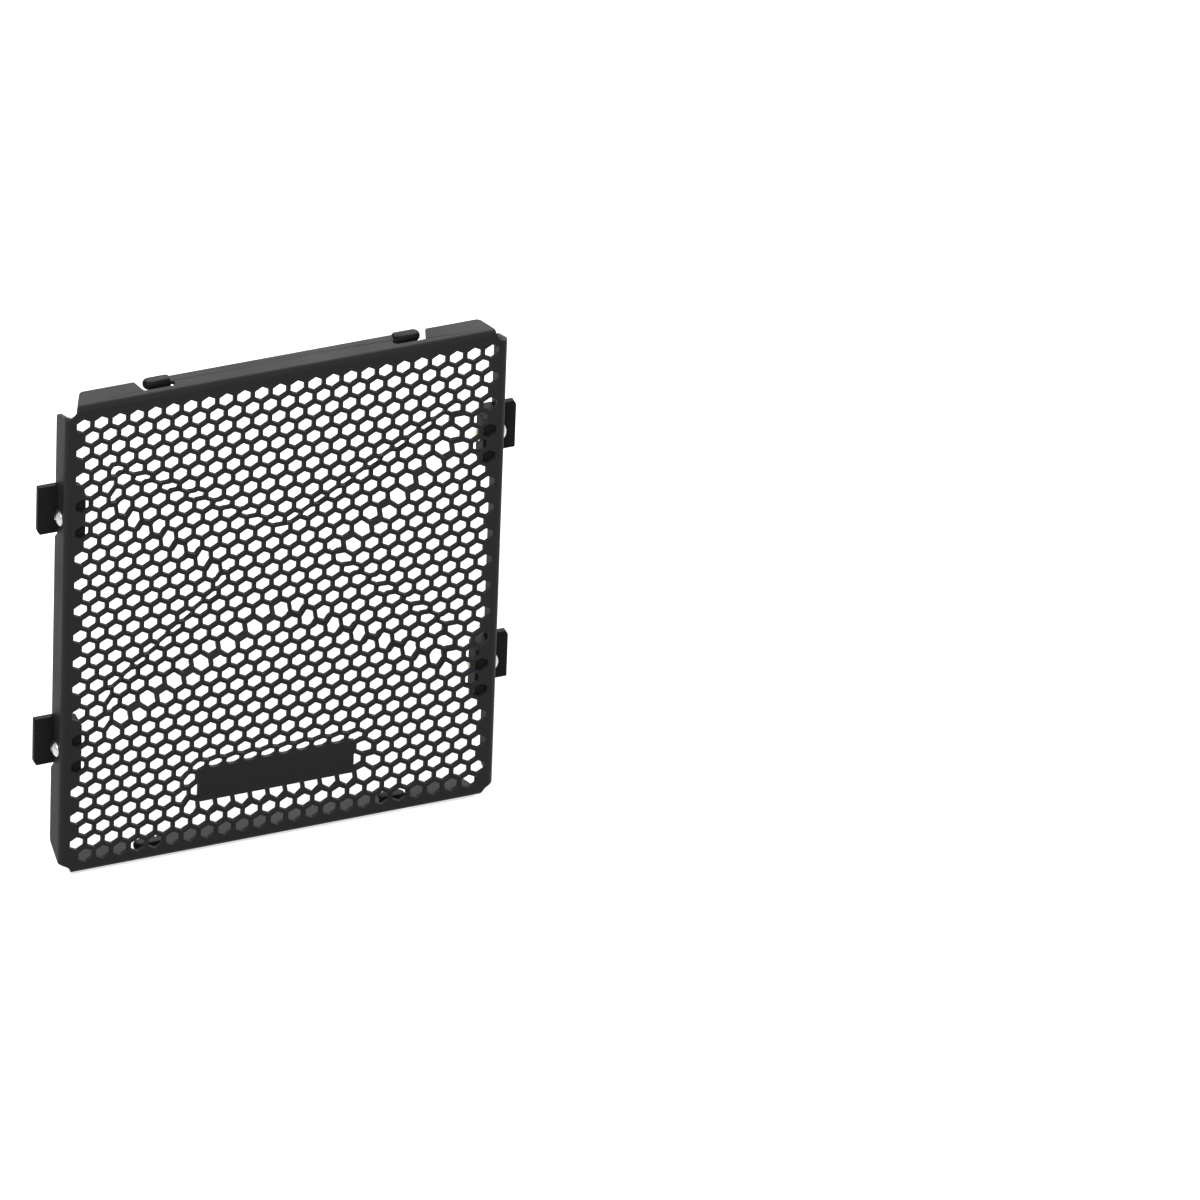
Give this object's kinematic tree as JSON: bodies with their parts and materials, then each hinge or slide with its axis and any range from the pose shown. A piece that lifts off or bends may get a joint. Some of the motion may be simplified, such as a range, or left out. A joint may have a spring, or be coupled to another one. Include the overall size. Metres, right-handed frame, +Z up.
{
  "type": "motorcycle radiator guard",
  "caption": "Perforated black sheet guard with folded flanges, a pressed cross and a bare label pocket, riveted side brackets and rubber-capped spring fingers.",
  "frame": {"origin": "middle of the box, level with the underside of the lowest rubber caps", "axes": "+Z up the panel, -Y out of the front face, +X to the right as seen from the front"},
  "size_m": [0.2328, 0.0164, 0.2682],
  "materials": {
    "black_coat": "semi-gloss black powder coat",
    "bracket_black": "plain black with a slight sheen",
    "rivet_metal": "bright drawn metal",
    "stem_metal": "dull brass-coloured plating",
    "cap_rubber": "smooth black moulded rubber"
  },
  "bodies": {
    "root": {"guard_panel": "black_coat", "bracket_upper_left": "bracket_black", "bracket_upper_right": "bracket_black", "bracket_lower_left": "bracket_black", "bracket_lower_right": "bracket_black", "rivet_upper_left": "rivet_metal", "rivet_upper_right": "rivet_metal", "rivet_lower_left": "rivet_metal", "rivet_lower_right": "rivet_metal", "stem_upper_left": "stem_metal", "stem_upper_right": "stem_metal", "stem_lower_left": "stem_metal", "stem_lower_right": "stem_metal", "cap_top_left": "cap_rubber", "cap_top_right": "cap_rubber", "cap_bottom_left": "cap_rubber", "cap_bottom_right": "cap_rubber"}
  },
  "joints": []
}
